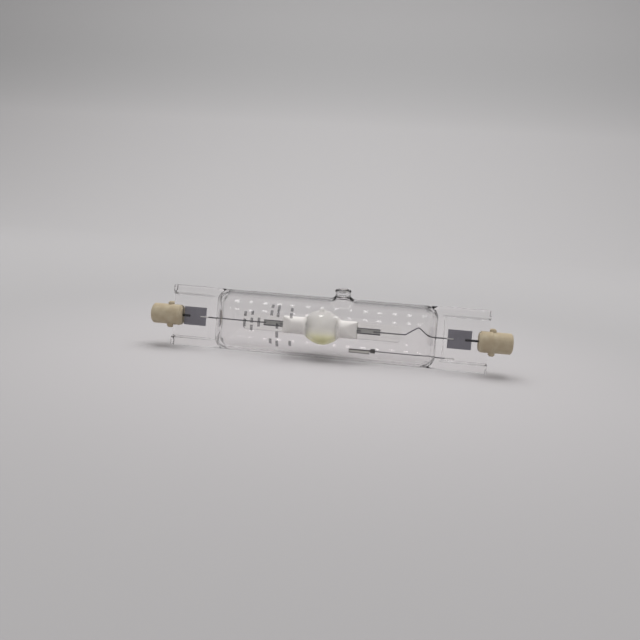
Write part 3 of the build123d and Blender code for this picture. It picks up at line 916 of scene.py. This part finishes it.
def dress_quartz():
    """The two quartz tubes, each an outer skin and the skin of the space in it."""
    outer = [outer_skin(), cavity_skin()]
    add_piece("envelope_quartz", outer, fused_quartz(), ["outer_envelope"], sharp=55)
    inner = [arc_outer_skin(), arc_inner_skin()]
    add_piece("arc_tube_quartz", inner, fogged_quartz(), ["arc_tube"])


def dress_wires():
    """Wires between the foils, the getter's wire, and the electrodes with their windings."""
    left_lead = straight(-48.9, -23.04, foil_front - lead_radius, count=40)
    getter_wire = straight(17.0, 47.65, 0, -7.25, 30)
    wires = {
        "left_inner_wire": ("left_inner_lead", left_lead, lead_radius),
        "right_inner_wire": ("right_inner_lead", kinked(), lead_radius),
        "getter_rod": ("getter_wire", getter_wire, getter_wire_radius),
    }
    molybdenum = drawn_molybdenum()
    for name, (node, path, radius) in wires.items():
        add_piece(name, [wire_skin(path, radius)], molybdenum, [node])
    tungsten = metal("drawn_tungsten", "#66656A", "#7E7D82", 0.4, 0.3, 0.45, 0.01)
    for side, name in sides.items():
        ends = sorted(bulb_place + side * end for end in (arc_foil_place[side] + 1.5, electrode_end))
        rod = wire_skin(straight(*ends, foil_front - electrode_radius, 0, 20), electrode_radius)
        add_piece(name + "_electrode", [rod], tungsten, [name + "_electrode_rod"])
        coil = coil_skin(side)
        add_piece(name + "_winding", [coil], tungsten, [name + "_electrode_coil"])


def dress_fillings():
    """Coatings on the arc tube's necks, and the salts and the mercury in its bulb."""
    zirconia = zirconia_layer()
    for side, name in sides.items():
        coat = coating_skin(side)
        add_piece(name + "_coating", [coat], zirconia, [name + "_heat_coating"])
    add_piece("salt_crust", [dose_skin()], salt_film(), ["halide_dose"])
    mercury = metal("liquid_mercury", "#D4D4D8", "#E2E2E6", 2.0, 0.02, 0.06, 0.001)
    add_piece("mercury_drop", [drop_skin()], mercury, ["mercury_bead"])


def dress_ends():
    """Ceramic caps, contacts, and the cement between cap and plate."""
    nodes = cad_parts
    steatite = fired_steatite()
    nickel = metal("turned_nickel", "#A9A294", "#C2BCB0", 0.6, 0.22, 0.38, 0.01)
    cement = cement_paste()
    for name in sides.values():
        finished_copy(name + "_cap", steatite, 0.28)
        finished_copy(name + "_contact", nickel, 0.05)
        paint(nodes[name + "_cap_cement"], cement)


def dress_metal():
    """Foils, the rods behind them, and the getter."""
    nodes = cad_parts
    foil = rolled_foil()
    oxidised = metal("oxidised_molybdenum", "#232224", "#38363A", 0.5, 0.45, 0.6, 0.02)
    narrow = rolled_foil("narrow_foil", rims=True)
    for name, ends in {"left": (-63.0, -52.9), "right": (50.9, 63.0)}.items():
        paint(nodes[name + "_outer_foil"], foil)
        paint(nodes[name + "_arc_foil"], narrow)
        rod = wire_skin(straight(*ends, 0, 0, 20), outer_lead_radius)
        add_piece(name + "_outer_rod", [rod], oxidised, [name + "_outer_lead"])
    strip = metal("heat_darkened_strip", "#35322F", "#4C4845", 0.8, 0.4, 0.55, 0.02)
    finished_copy("getter_boat", strip, 0.04)
    paint(nodes["getter_pellet"], pressed_powder())


def dress_marks():
    """Columns of plain upright bars, as marking on such a tube is laid out.

    A column has its place along X, and its bars' lowest and highest angles in degrees.
    """
    width = 1.0
    columns = {
        -29.2: [(-8, 6), (11, 20)],
        -26.6: [(-14, -4), (0, 9), (14, 22)],
        -24.0: [(-6, 10)],
        -19.6: [(-38, -27), (16, 26), (31, 38)],
        -17.2: [(-44, -30), (-24, -12), (-7, 3), (14, 38)],
        -12.4: [(-40, -28), (14, 24), (27, 34)],
    }
    skins = [mark_skin(x, x + width, low, high) for x, bars in columns.items() for low, high in bars]
    add_piece("marking", skins, marking_ink())


# Stage, lights and camera, in metres

def add_stage(name, points, faces, material):
    """Mesh that stands round the lamp and isn't part of it."""
    mesh = bpy.data.meshes.new(name)
    mesh.from_pydata(points.reshape(-1, 3).tolist(), [], faces.reshape(-1, 4).tolist())
    mesh.materials.append(material)
    stage = bpy.data.objects.new(name, mesh)
    bpy.context.scene.collection.objects.link(stage)
    return stage


def make_floor():
    """Pale floor that bends up into a wall far behind the lamp: a line, a quarter circle, a line."""
    half_width, bend_start, bend_radius, wall_top, rows = 3.0, 0.5, 0.6, 0.8, 18
    turn = np.linspace(0, pi / 2, 24)[1:]
    line = np.linspace(-half_width, bend_start, rows)
    y = np.concatenate([line, bend_start + bend_radius * np.sin(turn), [bend_start + bend_radius]])
    z = np.concatenate([np.zeros(rows), bend_radius * (1 - np.cos(turn)), [wall_top]])
    x = np.linspace(-half_width, half_width, 12)
    points = np.stack(np.broadcast_arrays(x[None, :], y[:, None], z[:, None]), axis=-1)
    floor = add_stage("floor", points, grid_faces(len(y), len(x)), paper_with_painted_light())
    floor.data.shade_smooth()


def make_ceiling_lamps():
    """Two rows of small lamps, only for their reflections: one above and one half-way down."""
    away, count, spacing, half_width, half_height = 1.5, 24, 0.04, 0.006, 0.08
    corners = np.array([(-1, -1), (1, -1), (1, 1), (-1, 1)])
    middles = spacing * (np.arange(count) - 0.5 * (count - 1))
    rows = []
    for elevation in (radians(90.0), radians(47.5)):
        out = away * np.array([0, -cos(elevation), sin(elevation)])
        up = half_height * np.array([0, sin(elevation), cos(elevation)])
        aside = np.array([half_width, 0, 0])
        face = out + corners[:, :1] * aside + corners[:, 1:] * up
        rows.append(face + middles[:, None, None] * np.array([1, 0, 0]))
    points = np.concatenate(rows)
    faces = np.arange(4 * len(points)).reshape(-1, 4)
    lamps = add_stage("ceiling_lamps", points, faces, lamp_face(5.5))
    lamps.visible_diffuse = False
    lamps.visible_shadow = False


def add_light(name, place, target, size, power):
    """Soft rectangular lamp aimed at a point."""
    light = bpy.data.lights.new(name, "AREA")
    light.shape = "RECTANGLE"
    light.size, light.size_y = size
    light.energy = power
    holder = bpy.data.objects.new(name, light)
    holder.location = place
    holder.rotation_euler = (Vector(target) - Vector(place)).to_track_quat("-Z", "Y").to_euler()
    holder.visible_glossy = False
    holder.visible_transmission = False
    bpy.context.scene.collection.objects.link(holder)


def make_light():
    """Pale room with two softboxes, and a darker corner high behind that gives the quartz edges."""
    world = bpy.data.worlds.new("room")
    world.use_nodes = True
    tree = world.node_tree
    height, inner, outer = radians(50), radians(18), radians(26)
    ray = add(tree, "TexCoord").outputs["Generated"]
    corner = (0, cos(height), sin(height))
    towards = add(tree, "VectorMath", [ray, corner], operation="DOT_PRODUCT").outputs["Value"]
    dark = add(tree, "MapRange", [towards, cos(outer), cos(inner)], **smooth)
    room = add(tree, "Mix", {0: dark, 6: linear("#CAC9C9"), 7: linear("#757577")}, **colours)
    tree.links.new(room.outputs[2], tree.nodes["Background"].inputs["Color"])
    bpy.context.scene.world = world
    add_light("overhead_softbox", (0.0, 0.5, 1.05), (0, 0, 0), (1.1, 0.7), 11.0)
    add_light("wall_softbox", (-0.35, 0.1, 1.0), (-0.35, 1.1, 0.3), (1.6, 0.5), 4.0)


def from_lamp(v):
    """Lamp's own axes (along, up the plate, out of the plate) to the world's."""
    return Vector((v.x, v.y * sin(lean) - v.z * cos(lean), v.y * cos(lean) + v.z * sin(lean)))


def make_camera():
    """Camera from the fit to the picture: turned, tilted and rolled against the lamp.

    The distance is in mm, and the focal length and the lamp's middle are in pixels of the frame.
    """
    turn, tilt, roll = radians(6.98), radians(2.0), radians(4.78)
    distance, focal, middle, frame_width = 232.0, 620.0, (326.76, 327.80), 640
    back = Vector((sin(turn) * cos(tilt), sin(tilt), cos(turn) * cos(tilt)))
    right = Vector((0, 1, 0)).cross(back).normalized()
    up = back.cross(right)
    right, up = cos(roll) * right + sin(roll) * up, cos(roll) * up - sin(roll) * right
    aside, below = [(pixel - frame_width / 2) / focal * distance for pixel in middle]
    spot = distance * back - aside * right + below * up
    axes = Matrix((from_lamp(right), from_lamp(up), from_lamp(back))).transposed()
    data = bpy.data.cameras.new("camera")
    data.sensor_width = 36.0
    data.lens = focal / frame_width * data.sensor_width
    data.clip_start = 0.01
    camera = bpy.data.objects.new("camera", data)
    place = mm * (from_lamp(spot) + Vector((0, 0, axis_height)))
    camera.matrix_world = Matrix.Translation(place) @ axes.to_4x4()
    bpy.context.scene.collection.objects.link(camera)
    bpy.context.scene.camera = camera


dress_quartz()
dress_wires()
dress_fillings()
dress_ends()
dress_metal()
dress_marks()
make_floor()
make_ceiling_lamps()
make_light()
make_camera()
bpy.context.scene.view_settings.view_transform = "Standard"
